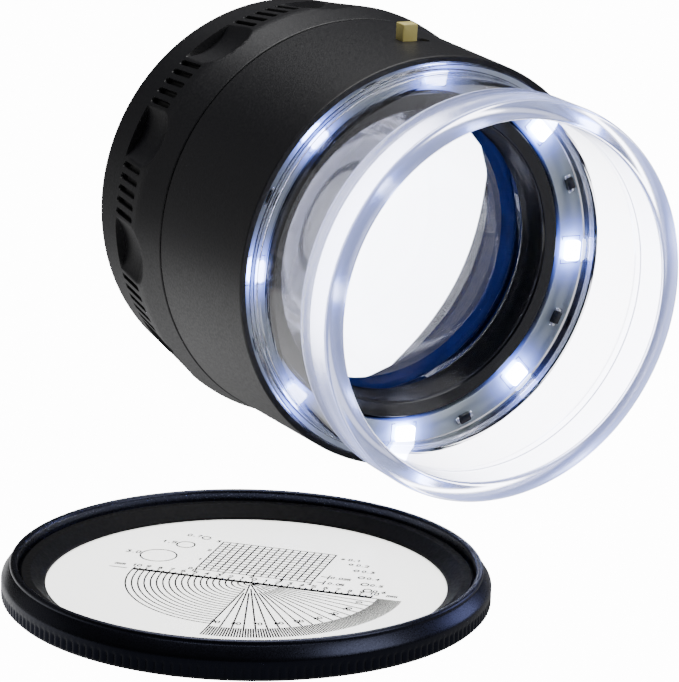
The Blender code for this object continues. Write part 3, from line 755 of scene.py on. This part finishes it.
def white_strength(tree, lighting):
    """Strength of a white that is bright where it is seen straight or through something clear, softer
    where it is seen after a reflection inside clear pieces, and only as strong as lighting says where
    it lights. Past all the lens faces it is bright again, whatever it met on the way."""
    path = add_node(tree, "ShaderNodeLightPath")
    clear = add_node(tree, "ShaderNodeMath", {0: path.outputs["Is Camera Ray"],
                                              1: path.outputs["Is Transmission Ray"]},
                     operation="MAXIMUM")
    bounced = add_node(tree, "ShaderNodeMath", {0: path.outputs["Diffuse Depth"],
                                                1: path.outputs["Glossy Depth"]}, operation="ADD")
    shallow = add_node(tree, "ShaderNodeMath", {0: path.outputs["Transmission Depth"],
                                                1: THROUGH_LENSES - 0.5}, operation="LESS_THAN")
    reflected = add_node(tree, "ShaderNodeMath", {0: bounced.outputs[0], 1: shallow.outputs[0]},
                         operation="MULTIPLY")
    direct = add_node(tree, "ShaderNodeMath", {0: clear.outputs[0], 1: reflected.outputs[0]},
                      operation="SUBTRACT", use_clamp=True)
    soft = add_node(tree, "ShaderNodeMapRange", {"Value": clear.outputs[0], "To Min": lighting,
                                                 "To Max": WHITE_INSIDE})
    return add_node(tree, "ShaderNodeMapRange", {"Value": direct.outputs[0],
                                                 "To Min": soft.outputs["Result"],
                                                 "To Max": WHITE}).outputs["Result"]


def build_stage():
    """A plain white floor just under the table's level. The light it gives is strongest in a round pool
    beside the loupe, on its left, and fades between the pool's inner and outer radius."""
    reach, level = 1.5, -0.00002
    pool_inner, pool_outer, pool_light, floor_light = 0.035, 0.062, 1.15, 0.14
    corners = [(-reach, -reach, level), (reach, -reach, level), (reach, reach, level),
               (-reach, reach, level)]
    mesh = bpy.data.meshes.new("floor")
    mesh.from_pydata(corners, [], [(0, 1, 2, 3)])
    floor = bpy.data.objects.new("floor", mesh)
    bpy.context.scene.collection.objects.link(floor)
    card = new_material("backlit_white_card", "5A5A5A", 0.8, Specular_IOR_Level=0.0,
                        Emission_Color=colour("FFFFFF"))
    tree = card.node_tree
    place = add_node(tree, "ShaderNodeTexCoord").outputs["Object"]
    away = add_node(tree, "ShaderNodeVectorMath", {0: place, 1: POOL_CENTRE}, operation="DISTANCE")
    pool = add_node(tree, "ShaderNodeMapRange", {
        "Value": away.outputs["Value"], "From Min": pool_inner, "From Max": pool_outer,
        "To Min": pool_light, "To Max": floor_light}, interpolation_type="SMOOTHSTEP")
    strength = white_strength(tree, pool.outputs["Result"])
    tree.links.new(strength, tree.nodes["Principled BSDF"].inputs["Emission Strength"])
    mesh.materials.append(card)


def area_light(name, place, size, power, tint="FFFFFF"):
    """A square soft light in metres, turned to face the object."""
    lamp = bpy.data.lights.new(name, "AREA")
    lamp.size = size
    lamp.energy = power
    lamp.color = colour(tint)[:3]
    light = bpy.data.objects.new(name, lamp)
    bpy.context.scene.collection.objects.link(light)
    aim = Vector((0.01, 0.01, 0.015)) - Vector(place)
    light.matrix_world = Matrix.Translation(place) @ aim.to_track_quat("-Z", "Y").to_matrix().to_4x4()


def build_light():
    """A white room, dimmer where it lights the object than where it is seen, and four soft boxes."""
    room_light = 0.035
    world = bpy.data.worlds.new("white_room")
    bpy.context.scene.world = world
    world.use_nodes = True
    background = world.node_tree.nodes["Background"]
    background.inputs["Color"].default_value = (1.0, 1.0, 1.0, 1.0)
    strength = white_strength(world.node_tree, room_light)
    world.node_tree.links.new(strength, background.inputs["Strength"])
    area_light("overhead_softbox", (0.05, 0.1, 0.5), 0.4, 3.5)
    area_light("front_softbox", (0.2, -0.35, 0.3), 0.25, 1.2)
    area_light("side_softbox", (0.3, -0.02, 0.09), 0.12, 0.2, "B9C2FF")
    area_light("left_softbox", (-0.3, 0.35, 0.1), 0.3, 0.07)


def build_camera():
    """Long lens from the front left, a little above, and rolled slightly."""
    place = Vector((-128.56, -225.14, 83.11)) * MM
    ahead = Vector((0.5039, 0.8638, 0)).normalized()
    pitch, roll = math.radians(-14.7), math.radians(1.58)
    look = ahead * math.cos(pitch) + Vector((0, 0, 1)) * math.sin(pitch)
    right = look.cross(Vector((0, 0, 1))).normalized()
    up = right.cross(look)
    x = right * math.cos(roll) + up * math.sin(roll)
    y = up * math.cos(roll) - right * math.sin(roll)
    data = bpy.data.cameras.new("camera")
    data.sensor_width = 36.0
    data.sensor_fit = "HORIZONTAL"
    data.lens = 164.6
    data.clip_start = 0.01
    camera = bpy.data.objects.new("camera", data)
    bpy.context.scene.collection.objects.link(camera)
    camera.matrix_world = Matrix.Translation(place) @ Matrix((x, y, -look)).transposed().to_4x4()
    bpy.context.scene.camera = camera


build_shell()
build_grip()
build_clear_base()
build_lamp_board()
build_lens_unit()
build_switch()
build_reticle_ring()
build_print()
dress_cad_nodes()
build_stage()
build_light()
build_camera()
